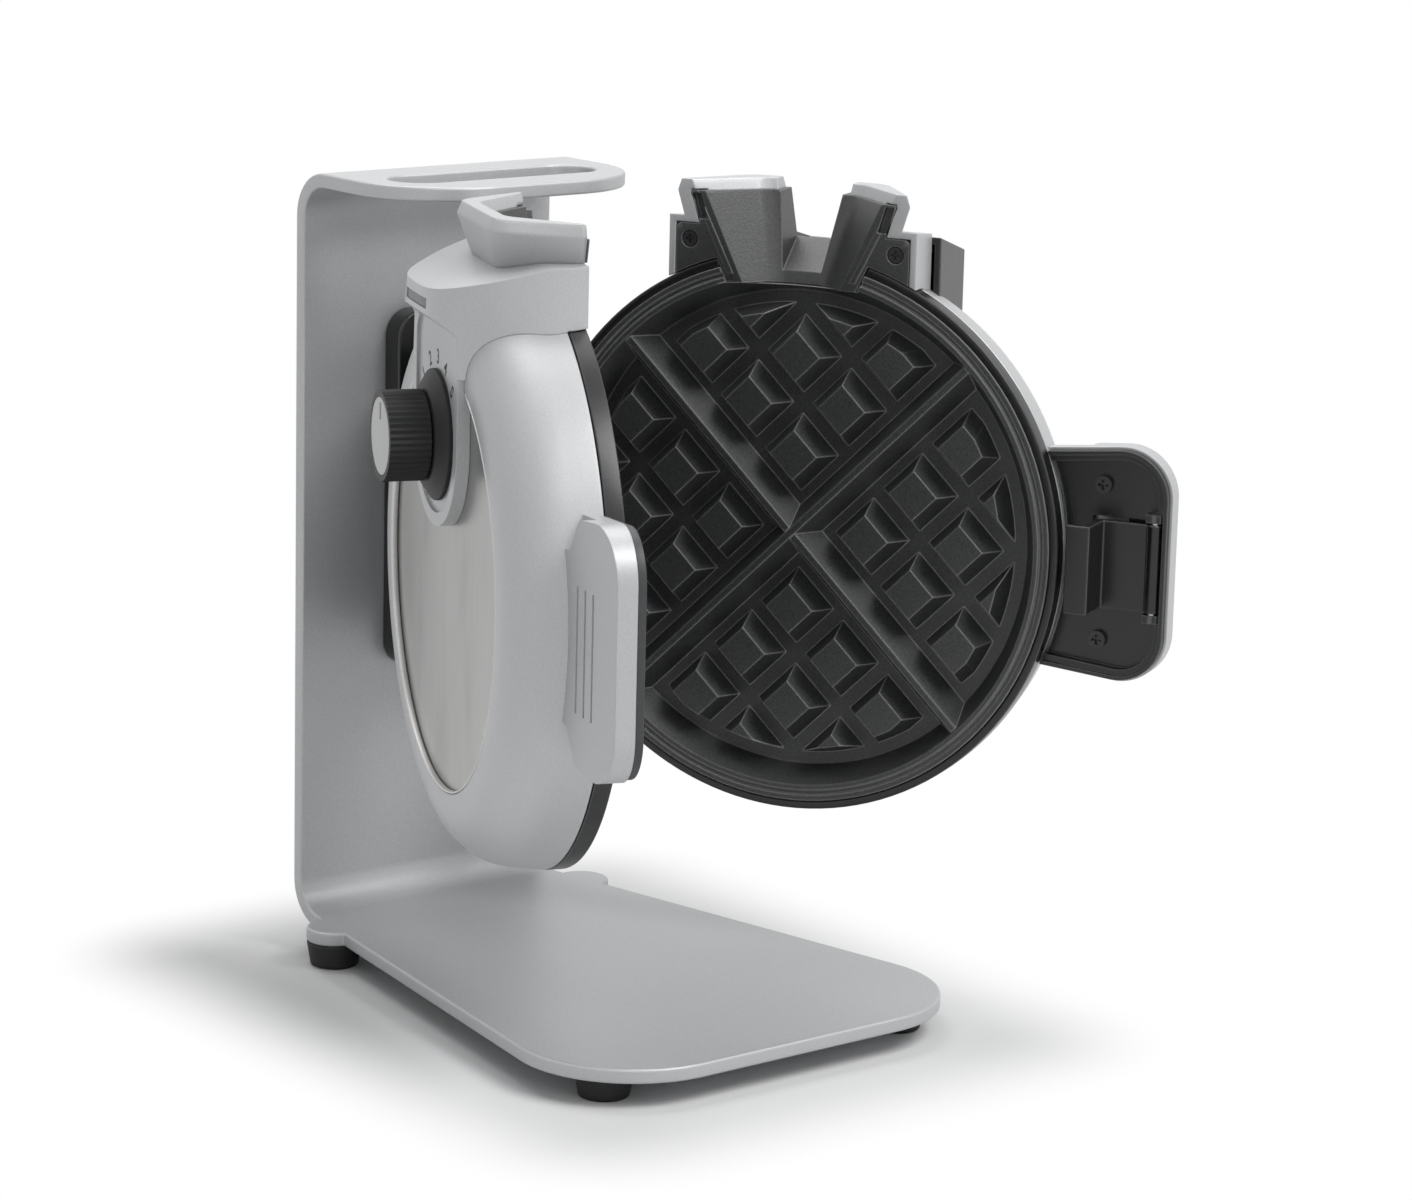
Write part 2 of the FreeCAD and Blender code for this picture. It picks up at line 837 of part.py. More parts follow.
def mouth_face(grow, d0, d1):
    """Flat liner face round the funnel's front edge."""
    side = liner_t + bead_w + grow
    return spout(out_prism(mirrored([
        (funnel_low_w + side + mouth_low_side, liner_low_q - grow, 0),
        (funnel_top_w + side, liner_top_q - past, 0),
    ]), d0, d1))


def build_half(side):
    """Every rigid piece of one half except its neck, handle and latch."""
    high_q = cup_top_q + 2 * past
    outer = funnel(liner_t, liner_low_q, liner_top_q)
    space = funnel(0, liner_low_q - past, high_q)
    clear = funnel(liner_t + fit, liner_low_q - fit, high_q)
    clear = clear.fuse(at(clear, 0, -flange_t, 0))
    if side == "right":
        outer = outer.fuse(channel(liner_t, liner_top_q, ramp_out_d))
        space = space.fuse(channel(0, high_q, neck_d))
        clear = clear.fuse(channel(liner_t + fit, high_q, 2 * neck_d))

    ear = spout(out_prism(mirrored([
        (shoulder_w - wall - fit, ear_low_q, 0),
        (shoulder_w - wall - fit, shoulder_q - wall - fit, ear_round),
    ]), half_gap, half_gap + flange_t))
    ear = ear.cut(cyl(rim_r + seam, vec(0, -past, 0), Y, neck_d))
    mouth = mouth_face(0, half_gap, half_gap + flange_t)
    liner = joined([outer, ear, tower_panel(0), mouth] + seal_beads()).cut(space)
    if side == "left":
        liner = joined([liner] + seal_tabs(0, half_gap - tab_out, half_gap + past))
    else:
        liner = liner.cut(Part.makeCompound(seal_tabs(tab_gap, -past, tab_out - half_gap + tab_gap)))
    screws = []
    for s in (-1, 1):
        px = spout_p + s * liner_screw_p
        one = screw(liner_screw_head_r, liner_sunk - seam, liner_screw_r, liner_screw_len)
        screws.append(at(one, px, half_gap + liner_sunk, liner_screw_q))
        sink_r = liner_screw_head_r + seam
        liner = liner.cut(cyl(sink_r, vec(px, -past, liner_screw_q), Y, past + half_gap + liner_sunk))
        liner = liner.cut(cyl(liner_screw_r + screw_gap, vec(px, 0, liner_screw_q), Y, neck_d))
    spout_zone = clear.fuse(mouth_face(fit, -flange_t, half_gap + flange_t + fit))

    plate = grid_plate(spout_zone)
    carrier = turned_ring([
        (plate_r + carrier_gap, half_gap + carrier_sunk),
        (rim_r, half_gap + carrier_sunk),
        (rim_r, band_d),
        (plate_step_r + 3 * carrier_gap, band_d),
        (plate_step_r + 3 * carrier_gap, plate_edge_d + face_gap),
        (plate_r + carrier_gap, plate_edge_d + face_gap),
    ]).cut(spout_zone)

    cover = turned(shell_edges).cut(spout_zone)
    shield = cyl(shield_r, vec(0, shield_d, 0), Y, shield_t)
    boss_d = shield_d + shield_t
    head_d = recess_floor - cover_screw_head_h - face_gap
    cover_screws = []
    for sx in (-1, 1):
        for sz in (-1, 1):
            px = sx * post_at
            pz = sz * post_at
            cover = cover.fuse(cyl(post_r, vec(px, boss_d, pz), Y, inner_top - boss_d + embed))
            cover = cover.cut(cyl(screw_r + screw_gap, vec(px, boss_d - past, pz), Y, neck_d))
            cover = cover.cut(cyl(cover_screw_head_r + seam, vec(px, head_d, pz), Y, neck_d))
            one = screw(cover_screw_head_r, cover_screw_head_h, screw_r, cover_screw_len)
            one.rotate(O, Z, 180)
            cover_screws.append(at(one, px, head_d, pz))
            shield = shield.cut(cyl(screw_r + seam, vec(px, shield_d - past, pz), Y, shield_t + 2 * past))
    element_d = floor_d + floor_t + element_tube_r + over
    element = Part.makeTorus(element_r, element_tube_r, vec(0, element_d, 0), Y, -180, 180, element_sweep)
    element.rotate(O, Y, element_sweep / 2 - 30)
    trim = cyl(recess_r - seam, vec(0, recess_floor, 0), Y, disc_t)
    cup = cup_envelope(0).cut(spout_zone).cut(tower_panel(fit))

    pad_high = lug_top - lug_h - knuckle_gap
    knuckle_top = pad_high
    if side == "right":
        knuckle_top = pad_high - knuckle_h - knuckle_gap
    arm_d = side_d - past
    pieces = [box(-arm_plate_p - arm_plate_t, -arm_plate_p, arm_in_d, arm_d, -pad_high, pad_high)]
    for s in (-1, 1):
        low = knuckle_top - knuckle_h if s > 0 else -knuckle_top
        pieces.append(cyl(knuckle_r, vec(-arm_len, 0, low), Z, knuckle_h))
        pieces.append(box(-arm_len, -arm_plate_p, arm_in_d, knuckle_r - fit, low, low + knuckle_h))
        low = pad_low if s > 0 else -pad_high
        high = low + pad_high - pad_low
        pieces.append(box(-arm_plate_p - arm_plate_t, -arm_pad_p, side_start + face_gap, arm_d, low, high))
    arm = joined(pieces).cut(filled).cut(band_zone)
    arm = arm.cut(cyl(pin_r + running, vec(-arm_len, 0, -half_span), Z, 2 * half_span))

    add_half(side + "_grid_plate", plate, side)
    add_half(side + "_carrier", carrier, side)
    add_half(side + "_heating_element", element, side)
    add_half(side + "_heat_shield", shield, side)
    add_half(side + "_cover_screws", Part.makeCompound(cover_screws), side)
    add_half(side + "_spout_liner", liner, side)
    add_half(side + "_liner_screws", Part.makeCompound(screws), side)
    add_half(side + "_hinge_arm", arm, side)
    return cover, trim, cup, spout_zone


def liner_bosses(neck):
    """Screw bosses for the liner, each webbed to the neck's side wall."""
    start = half_gap + flange_t + face_gap
    for s in (-1, 1):
        px = spout_p + s * liner_screw_p
        edge = spout_p + s * (shoulder_w - web_in)
        neck = neck.fuse(cyl(boss_r, vec(px, start, liner_screw_q), Y, boss_len))
        neck = neck.fuse(box(min(px, edge), max(px, edge), start, start + boss_len,
                             liner_screw_q - web_t / 2, liner_screw_q + web_t / 2))
        drill = cyl(liner_screw_r + screw_gap, vec(px, 0, liner_screw_q), Y, start + boss_len - boss_floor)
        neck = neck.cut(drill)
    return neck


# Left half
cover, trim, cup, spout_zone = build_half("left")
block = left_block(0)
cup = cup.cut(block)
dial_top_q = neck_flank_low_q + past
dial_plate = spout(out_prism([
    (-dial_r, dial_q - dial_r, dial_r - tiny),
    (dial_r, dial_q - dial_r, dial_r - tiny),
    (dial_r, dial_top_q, 0),
    (-dial_r, dial_top_q, 0),
], disc_d + over, dial_d))
dial_back = box(-half_span, half_span, inner_top, neck_d, 0, neck_flank_low_q + shelf_cove)
neck = block.cut(left_block(wall).cut(dial_back)).fuse(dial_plate)
inner_r = dial_r - border_w
dial_face_d = dial_d - dial_sink
dial_face = spout(out_prism([
    (-inner_r, dial_q - inner_r, inner_r - tiny),
    (inner_r, dial_q - inner_r, inner_r - tiny),
    (inner_r, shelf_low_q - border_w, dial_top_round),
    (-inner_r, shelf_low_q - border_w, dial_top_round),
], dial_face_d, dial_d + past))
neck = neck.cut(dial_face).cut(filled).cut(band_zone).cut(spout_zone)
neck = liner_bosses(neck.cut(neck_mouth()).cut(tower_panel(fit)))


def window_prism(grow, d0, d1):
    """Rounded slot shape of the lamp window."""
    w = window_w / 2 + grow
    h = window_h / 2 + grow
    corners = mirrored([(w, window_q - h, window_round), (w, window_q + h, window_round)])
    return spout(out_prism(corners, d0, d1))


neck = neck.cut(window_prism(0, neck_d - 2 * wall, neck_d + 2 * past))
lens = window_prism(-lens_gap, neck_d - wall, neck_d + past).common(left_block(lens_sunk))
lamp = cyl(lamp_r, vec(spout_p - lamp_len / 2, neck_d - wall - lamp_r - fit, window_q), X, lamp_len)
shaft_hole = cyl(shaft_r + running, vec(spout_p, 0, dial_q), Y, 2 * neck_d)
wide_hole = cyl(shaft_r + shaft_room, vec(spout_p, inner_top - past, dial_q), Y, neck_d)
neck = neck.cut(wide_hole)
cover = cover.cut(wide_hole)
trim = trim.cut(wide_hole)
bezel = turned_ring([
    (bezel_in_r, dial_face_d),
    (bezel_r, dial_face_d),
    (bezel_r, dial_face_d + bezel_edge_t),
    (bezel_top_r, dial_face_d + bezel_t),
    (bezel_in_r, dial_face_d + bezel_t),
])
half_w = thermostat_w / 2
thermostat = box(spout_p - half_w, spout_p + half_w, shield_d + shield_t + press_gap, inner_top - seam,
                 dial_q - thermostat_h / 2, dial_q + thermostat_h / 2)
thermostat = thermostat.cut(shaft_hole)
add_half("left_cover", cover, "left")
add_half("left_trim_disc", trim, "left")
add_half("left_neck", neck, "left")
add_half("left_spout_cup", cup, "left")
add_half("indicator_lens", lens, "left")
add_half("indicator_lamp", lamp, "left")
add_half("dial_bezel", at(bezel, spout_p, 0, dial_q), "left")
add_half("thermostat", thermostat, "left")

# Knob: toothed body with a bright cap, a pointer line and the shaft into the thermostat
knob_d = dial_face_d + knob_lift
knob_end = knob_d + knob_len
tooth = []
for i in range(knob_teeth * 2):
    angle = math.pi * i / knob_teeth
    r = knob_r if i % 2 == 0 else knob_r - tooth_depth
    tooth.append((r * math.cos(angle), r * math.sin(angle), 0))
knob = out_prism(tooth, knob_d, knob_end)
knob = knob.cut(cyl(knob_cap_r, vec(0, knob_end - cap_t, 0), Y, cap_t + past))
knob = knob.cut(cyl(shaft_r, vec(0, knob_d - past, 0), Y, knob_bore + past))
cap = cyl(knob_cap_r, vec(0, knob_end - cap_t, 0), Y, cap_t)
pointer_low = knob_cap_r - pointer_len - pointer_in
line = box(-pointer_w / 2, pointer_w / 2, knob_end - pointer_sunk, knob_end + over,
           pointer_low, pointer_low + pointer_len)
cap = cap.cut(line)
shaft_d = shield_d + shield_t + shaft_in
shaft = cyl(shaft_r, vec(0, shaft_d, 0), Y, knob_d + knob_bore - shaft_d)
for name, shape in (("knob_body", knob), ("knob_cap", cap), ("knob_pointer", line), ("knob_shaft", shaft)):
    add_half(name, at(shape, spout_p, 0, dial_q), "left")

# Right half
cover, trim, cup, spout_zone = build_half("right")
silver = right_block(0)
neck = silver.cut(right_block(wall)).fuse(cup.cut(silver))
neck = neck.cut(filled).cut(band_zone).cut(spout_zone)
neck = liner_bosses(neck.cut(neck_mouth()).cut(tower_panel(fit)))
neck_cover = cover_block(0).cut(cover_block(wall)).cut(filled).cut(spout_zone).cut(cup_envelope(fit))
fuse_body = cyl(fuse_r, vec(-fuse_len / 2, shield_d + shield_t + fuse_r + press_gap, fuse_q), X, fuse_len)
add_half("right_cover", cover, "right")
add_half("right_trim_disc", trim, "right")
add_half("right_neck", neck, "right")
add_half("right_neck_cover", neck_cover, "right")
add_half("thermal_fuse", fuse_body, "right")


# Handles
def grip_outline(inset):
    """Handle outline seen from the parting plane."""
    return [
        (grip_p - inset, -grip_q + inset, grip_corner_r - inset),
        (grip_p - inset, grip_q - inset, grip_corner_r - inset),
        (grip_root_p, grip_root_q - inset, 0),
        (grip_root_p, -grip_root_q + inset, 0),
    ]


def shell_outline():
    """Outline of the shell's raised pad, with slanted corners beside the dome."""
    full_q = blend_at(grip_root_q, grip_q, grip_root_p, grip_p, pad_full_p)
    upper = [
        (grip_p, grip_q, grip_corner_r),
        (pad_full_p, full_q, pad_round),
        (pad_slant_p, pad_root_q + past, 0),
        (grip_root_p, pad_root_q, 0),
    ]
    return upper + [(p, -z, r) for p, z, r in reversed(upper)]


def grip_wedge(start, trim_d):
    """Depth envelope of the handle, thinner towards its outer edge."""
    end_p = grip_p + past
    return up_prism([
        (grip_root_p, start, 0),
        (end_p, start, 0),
        (end_p, grip_tip_d - trim_d, 0),
        (grip_root_p, grip_root_d - trim_d, 0),
    ], -2 * grip_q, 2 * grip_q)


rim_clear = cyl(rim_r + seam, vec(0, -grip_p, 0), Y, 2 * grip_p)
lever_room = lever_q + lever_side
pocket_q = lever_room + pocket_side
pocket = box(lever_p0 - hook_lip - hook_room, lever_p0 + hook_back, 0, pocket_d, -pocket_q, pocket_q)
tray_back_d = tray_floor_d + tray_skin
screw_face_d = blend_at(grip_root_d, grip_tip_d, grip_root_p, grip_p, grip_screw_p)
pin_len = 2 * (lever_room + pin_post)
for side in ("left", "right"):
    shell = out_prism(shell_outline(), grip_shell_d, 2 * grip_root_d)
    shell = shell.fuse(out_prism(grip_outline(0), grip_shell_d, pad_d)).common(grip_wedge(grip_shell_d, 0))
    shell = shell.cut(out_prism(grip_outline(shell_wall), 0, tray_back_d + fit)).cut(pocket)
    tray = out_prism(grip_outline(tray_edge), grip_in_d, grip_shell_d - face_gap)
    tray = tray.fuse(out_prism(grip_outline(shell_wall + fit), grip_in_d, tray_back_d))
    if side == "right":
        head_d = tray_floor_d
        tray = tray.cut(out_prism(grip_outline(recess_edge), 0, tray_floor_d))
        tray = tray.cut(out_prism(grip_outline(recess_edge - ledge_w), 0, grip_in_d + ledge_d))
        slot_p = lever_p0 - 2 * past
        tray = tray.cut(box(slot_p, lever_p0 + hook_back, 0, tray_back_d + past, -lever_room, lever_room))
        bed_end = latch_pin_p + latch_eye_r + lever_side
        tray = tray.cut(box(lever_p0, bed_end, 0, lever_floor_d, -lever_room, lever_room))
        for s in (-1, 1):
            low = lever_room if s > 0 else -lever_room - pin_post
            tray = tray.fuse(box(latch_pin_p - pin_post, latch_pin_p + latch_eye_r, grip_in_d,
                                 tray_floor_d + embed, low, low + pin_post))
        tray = tray.cut(cyl(latch_pin_r + press_gap, vec(latch_pin_p, latch_pin_d, -pin_len / 2), Z, pin_len))
    else:
        head_d = grip_in_d + grip_screw_head_h + 2 * fit
        tray = tray.cut(pocket)
        for i in range(3):
            p0 = rib_first_p + i * rib_pitch
            slit = box(p0, p0 + rib_w, 0, 2 * grip_root_d, -rib_half_q - rib_drop, rib_half_q - rib_drop)
            shell = shell.cut(slit.cut(grip_wedge(-past, rib_sunk)))
    screw_end = screw_face_d - shell_wall
    grip_screws = []
    for s in (-1, 1):
        one = screw(grip_screw_head_r, grip_screw_head_h, grip_screw_r, screw_end - head_d - fit)
        grip_screws.append(at(one, grip_screw_p, head_d, s * grip_screw_q))
        hole = cyl(grip_screw_r + screw_gap, vec(grip_screw_p, 0, s * grip_screw_q), Y, screw_end)
        tray = tray.cut(hole)
        shell = shell.cut(hole)
        if side == "left":
            tray = tray.cut(cyl(grip_screw_head_r + seam, vec(grip_screw_p, 0, s * grip_screw_q), Y, head_d))
    tray = tray.cut(rim_clear)
    shell = shell.cut(filled).cut(band_zone)
    add_half(side + "_handle_shell", shell.removeSplitter(), side)
    add_half(side + "_handle_tray", tray.removeSplitter(), side)
    add_half(side + "_handle_screws", Part.makeCompound(grip_screws), side)

# Latch: a lever with a hook on a pin, held out by a leaf spring
hook_p = lever_p0 + hook_t
lever = box(lever_p0, latch_pin_p, lever_d0, lever_d1, -lever_q, lever_q)
lever = lever.fuse(box(lever_p0, hook_p, -hook_out, lever_d1, -lever_q, lever_q))
lever = lever.fuse(box(lever_p0 - hook_lip, hook_p, -hook_out, hook_lip_t - hook_out, -lever_q, lever_q))
lever = lever.fuse(cyl(latch_eye_r, vec(latch_pin_p, latch_pin_d, -lever_q), Z, 2 * lever_q))
lever = lever.cut(cyl(latch_pin_r + running, vec(latch_pin_p, latch_pin_d, -half_span), Z, 2 * half_span))
add_half("latch_lever", lever.removeSplitter(), "right")
latch_pin = cyl(latch_pin_r, vec(latch_pin_p, latch_pin_d, fit / 2 - pin_len / 2), Z, pin_len - fit)
add_half("latch_pin", latch_pin, "right")
leaf_end = latch_pin_p - latch_eye_r
leaf_bend = leaf_end - leaf_w
leaf_tip = leaf_bend - leaf_slant
leaf_d = lever_d1 + leaf_rise
spring = up_prism([
    (leaf_end, lever_floor_d, 0),
    (leaf_bend, lever_floor_d, 0),
    (leaf_tip, leaf_d + leaf_t, 0),
    (leaf_tip, leaf_d, 0),
    (leaf_bend + fit, lever_floor_d - leaf_t, 0),
    (leaf_end, lever_floor_d - leaf_t, 0),
], -leaf_w / 2, leaf_w / 2)
add_half("latch_spring", spring, "right")

# Stand the whole part on Z = 0 with its box centred on the origin, then write the files
whole = Part.makeCompound(list(shapes.values()))
extent = whole.optimalBoundingBox()
shift = vec(-(extent.XMin + extent.XMax) / 2.0, -(extent.YMin + extent.YMax) / 2.0, 0)
os.makedirs("parts", exist_ok=True)
for name in shapes:
    shape = shapes[name]
    shape.translate(shift)
    solids = len(shape.Solids)
    state = "ok" if shape.isValid() else "INVALID"
    print(name, "solids", solids, "volume", round(shape.Volume / 1000.0, 2), state)
    shape.exportStep("parts/" + name + ".step")
size = [round(v, 2) for v in (extent.XLength, extent.YLength, extent.ZLength)]
print("size", size, "shift", [round(v, 4) for v in shift])
print("hinge", round(hinge_y + shift.y, 4), "disc", disc_z)
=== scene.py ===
import json
import math

import bmesh
import bpy
from mathutils import Matrix, Vector


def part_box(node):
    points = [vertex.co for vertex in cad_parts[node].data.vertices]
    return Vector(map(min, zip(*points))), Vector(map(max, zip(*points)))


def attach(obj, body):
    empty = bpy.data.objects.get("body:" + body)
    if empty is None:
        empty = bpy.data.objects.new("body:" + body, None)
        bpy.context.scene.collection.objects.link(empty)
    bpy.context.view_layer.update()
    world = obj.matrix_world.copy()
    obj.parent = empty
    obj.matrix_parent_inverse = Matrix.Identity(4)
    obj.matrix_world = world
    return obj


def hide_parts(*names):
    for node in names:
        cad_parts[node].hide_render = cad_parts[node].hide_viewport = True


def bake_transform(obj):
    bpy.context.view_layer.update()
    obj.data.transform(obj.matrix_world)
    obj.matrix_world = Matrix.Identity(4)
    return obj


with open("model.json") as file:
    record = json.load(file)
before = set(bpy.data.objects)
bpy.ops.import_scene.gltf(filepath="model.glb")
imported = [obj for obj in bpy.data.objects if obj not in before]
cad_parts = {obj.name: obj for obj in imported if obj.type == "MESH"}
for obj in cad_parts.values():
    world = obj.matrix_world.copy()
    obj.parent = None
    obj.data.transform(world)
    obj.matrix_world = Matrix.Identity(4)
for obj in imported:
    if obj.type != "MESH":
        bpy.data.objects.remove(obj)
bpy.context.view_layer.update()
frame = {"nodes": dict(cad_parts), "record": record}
nodes = frame["nodes"]
MM = 0.001
# Noise stays within these bounds nearly everywhere, so they are spread over the whole range.
noise_low = 0.3
noise_high = 0.7
# A painted edge highlight shows where the rounded normal turns away from the true one, between these
# cosines.
highlight_reach = 0.7 * MM
highlight_from = 0.995
highlight_full = 0.92


def material(name):
    """New material with a Principled shader; returns the material, its tree and the shader."""
    mat = bpy.data.materials.new(name)
    mat.use_nodes = True
    tree = mat.node_tree
    shader = tree.nodes["Principled BSDF"]
    return mat, tree, shader


def add_node(tree, kind, **values):
    """New node of a kind, with its settings."""
    node = tree.nodes.new(kind)
    for key in values:
        setattr(node, key, values[key])
    return node


def object_coords(tree, scale):
    """Object coordinates in metres, scaled per axis."""
    coords = add_node(tree, "ShaderNodeTexCoord")
    mapping = add_node(tree, "ShaderNodeMapping")
    mapping.inputs["Scale"].default_value = scale
    tree.links.new(coords.outputs["Object"], mapping.inputs["Vector"])
    return mapping.outputs["Vector"]


def noise(tree, vector, scale, detail):
    """Noise of a scale, from about noise_low to noise_high."""
    node = add_node(tree, "ShaderNodeTexNoise")
    node.inputs["Scale"].default_value = scale
    node.inputs["Detail"].default_value = detail
    node.inputs["Roughness"].default_value = 0.55
    tree.links.new(vector, node.inputs["Vector"])
    return node.outputs["Fac"]


def spread(tree, value, to_low, to_high, low=noise_low, high=noise_high):
    """Maps low..high to to_low..to_high, clamped."""
    node = add_node(tree, "ShaderNodeMapRange")
    node.inputs["From Min"].default_value = low
    node.inputs["From Max"].default_value = high
    node.inputs["To Min"].default_value = to_low
    node.inputs["To Max"].default_value = to_high
    tree.links.new(value, node.inputs["Value"])
    return node.outputs["Result"]


def blend_colour(tree, factor, first, second):
    """Mixes two colours by a factor; each is a socket or a plain colour."""
    node = add_node(tree, "ShaderNodeMix", data_type="RGBA")
    tree.links.new(factor, node.inputs["Factor"])
    for place, colour in ((6, first), (7, second)):
        if isinstance(colour, tuple):
            node.inputs[place].default_value = (*colour, 1.0)
        else:
            tree.links.new(colour, node.inputs[place])
    return node.outputs[2]


def worn_edges(tree):
    """Factor that is 1 on hard edges, where a rounded normal leaves the true one: the mask of a painted edge
    highlight.
    """
    soft = add_node(tree, "ShaderNodeBevel", samples=6)
    soft.inputs["Radius"].default_value = highlight_reach
    true = add_node(tree, "ShaderNodeNewGeometry")
    dot = add_node(tree, "ShaderNodeVectorMath", operation="DOT_PRODUCT")
    tree.links.new(soft.outputs["Normal"], dot.inputs[0])
    tree.links.new(true.outputs["True Normal"], dot.inputs[1])
    return spread(tree, dot.outputs["Value"], 0.0, 1.0, highlight_from, highlight_full)


def bump(tree, shader, height, strength, distance, soft=0.0):
    """Bump from a height; soft rounds what hard edges are left by that radius in the shading."""
    node = add_node(tree, "ShaderNodeBump")
    node.inputs["Strength"].default_value = strength
    node.inputs["Distance"].default_value = distance
    tree.links.new(height, node.inputs["Height"])
    if soft > 0:
        edge = add_node(tree, "ShaderNodeBevel", samples=4)
        edge.inputs["Radius"].default_value = soft
        tree.links.new(edge.outputs["Normal"], node.inputs["Normal"])
    tree.links.new(node.outputs["Normal"], shader.inputs["Normal"])


def speckled(name, dark, light, rough, metallic, grain, grain_bump, spec=0.5, edge=None, soft=0.0):
    """Fine grained finish: colour, roughness and bump follow the grain, and edge is a painted highlight
    colour on hard edges.
    """
    mat, tree, shader = material(name)
    vector = object_coords(tree, (1, 1, 1))
    fine = noise(tree, vector, grain, 2.0)
    broad = noise(tree, vector, 11.0, 2.0)
    colour = blend_colour(tree, spread(tree, fine, 0.0, 1.0), dark, light)
    # Hard edges are lightened towards the edge colour: a painted highlight.
    if edge:
        colour = blend_colour(tree, worn_edges(tree), colour, edge)
    tree.links.new(colour, shader.inputs["Base Color"])
    tree.links.new(spread(tree, broad, rough[0], rough[1]), shader.inputs["Roughness"])
    shader.inputs["Metallic"].default_value = metallic
    shader.inputs["Specular IOR Level"].default_value = spec
    bump(tree, shader, fine, grain_bump, 0.3 * MM, soft)
    return mat


def brushed(name, dark, light, along):
    """Metal with fine scratches drawn out along one object axis and a few broad cloudy smears."""
    mat, tree, shader = material(name)
    scale = [1, 1, 1]
    scale[along] = 0.015
    lines = noise(tree, object_coords(tree, tuple(scale)), 2400.0, 2.0)
    smear = noise(tree, object_coords(tree, (1, 1, 0.35)), 30.0, 3.0)
    base = blend_colour(tree, spread(tree, lines, 0.0, 1.0), dark, light)
    stain = tuple(0.72 * part for part in dark)
    colour = blend_colour(tree, spread(tree, smear, 0.0, 0.6, 0.56, 0.74), base, stain)
    tree.links.new(colour, shader.inputs["Base Color"])
    tree.links.new(spread(tree, smear, 0.27, 0.36), shader.inputs["Roughness"])
    shader.inputs["Metallic"].default_value = 1.0
    bump(tree, shader, lines, 0.06, 0.15 * MM)
    return mat


def silver_finish(name, soft):
    """Satin silver paint, with hard edges shaded soft by a radius."""
    return speckled(name, (0.51, 0.517, 0.525), (0.60, 0.607, 0.615), (0.40, 0.46), 0.35,
                    2600.0, 0.07, spec=0.4, soft=soft)


silver = silver_finish("silver_paint", 0.5 * MM)
silver_round = silver_finish("silver_moulding", 2.0 * MM)
# The edge colours below are painted highlights on the hard edges.
nonstick = speckled("nonstick_coat", (0.024, 0.0248, 0.0255), (0.062, 0.0635, 0.065), (0.38, 0.46), 0.0,
                    1500.0, 0.22, spec=0.6, edge=(0.46, 0.46, 0.455))
black = speckled("black_plastic", (0.007, 0.0073, 0.0076), (0.012, 0.0123, 0.0126), (0.24, 0.32), 0.0,
                 1500.0, 0.10, spec=0.5, edge=(0.12, 0.12, 0.12))
knob_black = speckled("knob_plastic", (0.010, 0.0105, 0.011), (0.017, 0.0175, 0.018), (0.50, 0.60), 0.0,
                      1500.0, 0.08, spec=0.35)
liner = speckled("liner_plastic", (0.022, 0.023, 0.024), (0.05, 0.051, 0.052), (0.34, 0.42), 0.0,
                 1300.0, 0.2, spec=0.7, edge=(0.2, 0.2, 0.2))
grey = speckled("grey_plastic", (0.045, 0.047, 0.05), (0.06, 0.062, 0.065), (0.40, 0.50), 0.0, 1500.0, 0.12)
rubber = speckled("black_rubber", (0.007, 0.007, 0.008), (0.013, 0.013, 0.014), (0.6, 0.75), 0.0, 900.0, 0.2)
steel = speckled("plain_steel", (0.46, 0.46, 0.47), (0.56, 0.56, 0.57), (0.28, 0.4), 1.0, 1500.0, 0.04)
dark_screw = speckled("dark_screw", (0.03, 0.03, 0.032), (0.06, 0.06, 0.064), (0.3, 0.42), 0.6, 1500.0, 0.06)
silver_cap = speckled("silver_cap", (0.38, 0.385, 0.385), (0.44, 0.445, 0.445), (0.34, 0.40), 0.4,
                      2600.0, 0.03)
lens = speckled("smoked_lens", (0.09, 0.095, 0.105), (0.13, 0.137, 0.148), (0.34, 0.42), 0.0, 900.0, 0.1)
lamp = speckled("lamp_glass", (0.5, 0.25, 0.12), (0.6, 0.32, 0.16), (0.1, 0.2), 0.0, 500.0, 0.02)
polished = speckled("polished_trim", (0.60, 0.595, 0.585), (0.68, 0.675, 0.66), (0.40, 0.46), 0.6,
                    1500.0, 0.02)
disc_steel = brushed("brushed_disc", (0.30, 0.30, 0.295), (0.35, 0.35, 0.345), 2)

by_slot = {
    "silver_paint": silver,
    "nonstick": nonstick,
    "brushed_disc": disc_steel,
    "black_plastic": black,
    "grey_plastic": grey,
    "silver_plastic": silver_cap,
    "lens": lens,
    "lamp_glass": lamp,
    "rubber": rubber,
    "steel": steel,
    "black_screw": dark_screw,
}
for part in frame["record"]["subparts"]:
    obj = nodes[part["node"]]
    obj.data.materials.clear()
    obj.data.materials.append(by_slot[part["material_slot"]])
for side in ("left_", "right_"):
    nodes[side + "spout_liner"].data.materials[0] = liner
nodes["left_spout_cup"].data.materials[0] = silver_round
nodes["knob_body"].data.materials[0] = knob_black
nodes["dial_bezel"].data.materials[0] = knob_black

# Edge radii in mm and their steps: the moulded, cast and pressed edges are rounded by real faces.
edge_round = {
    "stand_frame": (0.9, 3),
    "hinge_bracket": (1.0, 3),
    "cord_gland": (0.4, 2),
    "right_neck": (0.35, 2),
    "right_neck_cover": (0.42, 2),
    "right_spout_liner": (0.2, 2),
    "left_handle_tray": (0.4, 2),
    "right_handle_tray": (0.2, 2),
    "dial_bezel": (0.3, 2),
    "knob_cap": (0.3, 2),
    "latch_lever": (0.6, 2),
    "indicator_lens": (0.15, 2),
}
for side in ("left_", "right_"):
    edge_round[side + "cover"] = (0.6, 2)
    edge_round[side + "carrier"] = (0.5, 2)
    edge_round[side + "grid_plate"] = (0.3, 2)
    edge_round[side + "hinge_arm"] = (0.6, 2)
for corner in ("front_left", "front_right", "rear_left", "rear_right"):
    edge_round["foot_" + corner] = (0.8, 2)
